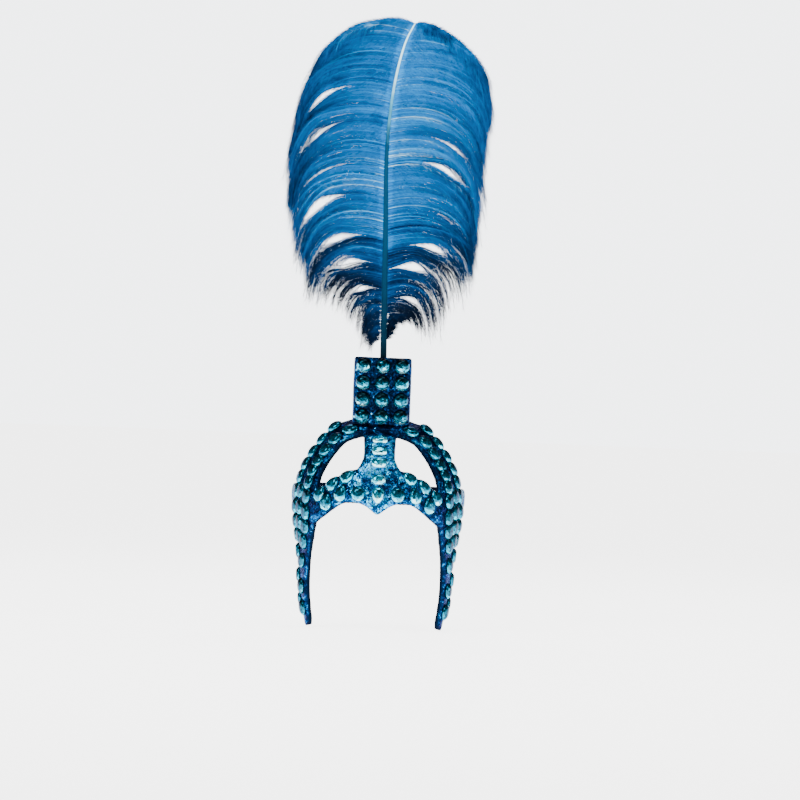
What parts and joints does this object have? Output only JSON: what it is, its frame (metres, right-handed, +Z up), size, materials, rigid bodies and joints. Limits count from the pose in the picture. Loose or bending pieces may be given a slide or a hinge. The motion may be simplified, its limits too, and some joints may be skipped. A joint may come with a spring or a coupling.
{
  "type": "showgirl feather headdress",
  "caption": "Open padded helmet headdress with a widow's peak, side arches and cheek arms, set with acrylic stones, and a covered box on the crest that holds an upright ostrich plume.",
  "frame": {"origin": "middle of the head opening, level with the brow line where the brow band sits on the forehead", "axes": "+Z up towards the plume, the face looks along -Y, +X towards the wearer's left hand"},
  "size_m": [0.2003, 0.2029, 0.5833],
  "materials": {
    "glitter_fabric": "crinkled holographic glitter fabric over foam",
    "acrylic_stone": "faceted foil-backed acrylic",
    "feather_barbs": "dyed ostrich barbs, soft sheen",
    "feather_quill": "dyed quill, satin"
  },
  "bodies": {
    "root": {"brow_band": "glitter_fabric", "back_band": "glitter_fabric", "center_strip": "glitter_fabric", "crest_pad": "glitter_fabric", "left_arch": "glitter_fabric", "right_arch": "glitter_fabric", "left_cheek_arm": "glitter_fabric", "right_cheek_arm": "glitter_fabric", "plume_box": "glitter_fabric", "box_stone_1_1": "acrylic_stone", "box_stone_1_2": "acrylic_stone", "box_stone_1_3": "acrylic_stone", "box_stone_2_1": "acrylic_stone", "box_stone_2_2": "acrylic_stone", "box_stone_2_3": "acrylic_stone", "box_stone_3_1": "acrylic_stone", "box_stone_3_2": "acrylic_stone", "box_stone_3_3": "acrylic_stone", "box_stone_4_1": "acrylic_stone", "box_stone_4_2": "acrylic_stone", "box_stone_4_3": "acrylic_stone", "peak_stone": "acrylic_stone", "center_stone_1": "acrylic_stone", "center_stone_2": "acrylic_stone", "center_stone_3": "acrylic_stone", "center_stone_4": "acrylic_stone", "left_brow_stone_1": "acrylic_stone", "left_brow_stone_2": "acrylic_stone", "left_brow_stone_3": "acrylic_stone", "left_brow_stone_4": "acrylic_stone", "left_brow_stone_5": "acrylic_stone", "left_brow_stone_6": "acrylic_stone", "right_brow_stone_1": "acrylic_stone", "right_brow_stone_2": "acrylic_stone", "right_brow_stone_3": "acrylic_stone", "right_brow_stone_4": "acrylic_stone", "right_brow_stone_5": "acrylic_stone", "right_brow_stone_6": "acrylic_stone", "left_side_stones": "acrylic_stone", "right_side_stones": "acrylic_stone", "quill": "feather_quill", "left_vane": "feather_barbs", "right_vane": "feather_barbs"}
  },
  "joints": []
}
